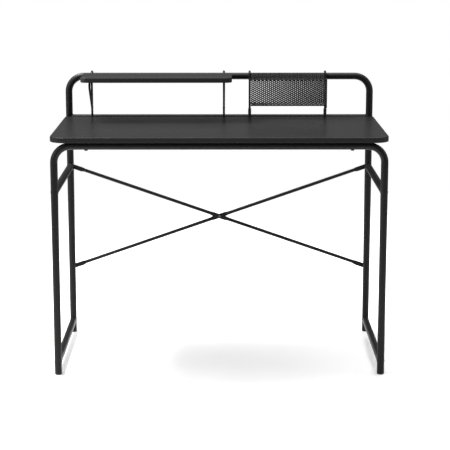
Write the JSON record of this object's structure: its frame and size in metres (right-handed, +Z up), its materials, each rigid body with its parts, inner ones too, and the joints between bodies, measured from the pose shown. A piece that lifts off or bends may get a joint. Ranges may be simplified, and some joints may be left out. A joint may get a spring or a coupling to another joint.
{
  "type": "writing desk",
  "caption": "Black writing desk on a bent-tube frame with a rear hoop, a crossed brace, a raised shelf and a mesh pocket that hook over the hoop and slide along it.",
  "frame": {"origin": "on the floor, at the middle of the whole desk seen from above", "axes": "+X to the right along the desktop, +Y to the rear, +Z up"},
  "size_m": [1.004, 0.5158, 0.876],
  "materials": {
    "black_board": "satin black laminate on particle board",
    "black_tube": "fine-textured satin black powder coat",
    "black_wire": "satin black powder coat on wire and plate",
    "black_mesh": "satin black powder coat on expanded metal",
    "black_screws": "black zinc",
    "black_plastic": "moulded, fine grain",
    "spigot_steel": "bare drawn tube",
    "insert_brass": "plain"
  },
  "bodies": {
    "frame": {"back_hoop": "black_tube", "back_hoop_screws": "black_screws", "back_hoop_spigots": "spigot_steel", "brace_bolt": "black_screws", "brace_nut": "black_screws", "brace_screws": "black_screws", "desktop": "black_board", "desktop_inserts": "insert_brass", "desktop_left_tab": "black_tube", "desktop_right_tab": "black_tube", "desktop_tab_screws": "black_screws", "falling_brace": "black_tube", "front_left_foot": "black_plastic", "front_left_leg": "black_tube", "front_rail": "black_tube", "front_rail_screws": "black_screws", "front_rail_spigots": "spigot_steel", "front_right_foot": "black_plastic", "front_right_leg": "black_tube", "left_lower_side_rail": "black_tube", "left_upper_side_rail": "black_tube", "rear_left_foot": "black_plastic", "rear_left_leg": "black_tube", "rear_rail": "black_tube", "rear_right_foot": "black_plastic", "rear_right_leg": "black_tube", "right_lower_side_rail": "black_tube", "right_upper_side_rail": "black_tube", "rising_brace": "black_tube"},
    "shelf": {"shelf_board": "black_board", "shelf_left_hook": "black_wire", "shelf_left_plate": "black_wire", "shelf_left_strut": "black_wire", "shelf_right_hook": "black_wire", "shelf_right_plate": "black_wire", "shelf_right_strut": "black_wire", "shelf_screws": "black_screws"},
    "pocket": {"pocket_floor_mesh": "black_mesh", "pocket_front_bar": "black_wire", "pocket_front_mesh": "black_mesh", "pocket_front_rim": "black_wire", "pocket_left_end": "black_wire", "pocket_left_hanger": "black_wire", "pocket_left_post": "black_wire", "pocket_left_sleeve": "black_plastic", "pocket_rear_bar": "black_wire", "pocket_rear_mesh": "black_mesh", "pocket_rear_rim": "black_wire", "pocket_right_end": "black_wire", "pocket_right_hanger": "black_wire", "pocket_right_post": "black_wire", "pocket_right_sleeve": "black_plastic"}
  },
  "joints": [
    {"name": "shelf_slide", "type": "slide", "parent": "frame", "child": "shelf", "axis": [1, 0, 0], "range_m": [-0.02, 0.025]},
    {"name": "pocket_slide", "type": "slide", "parent": "frame", "child": "pocket", "axis": [1, 0, 0], "range_m": [-0.025, 0.088]}
  ]
}
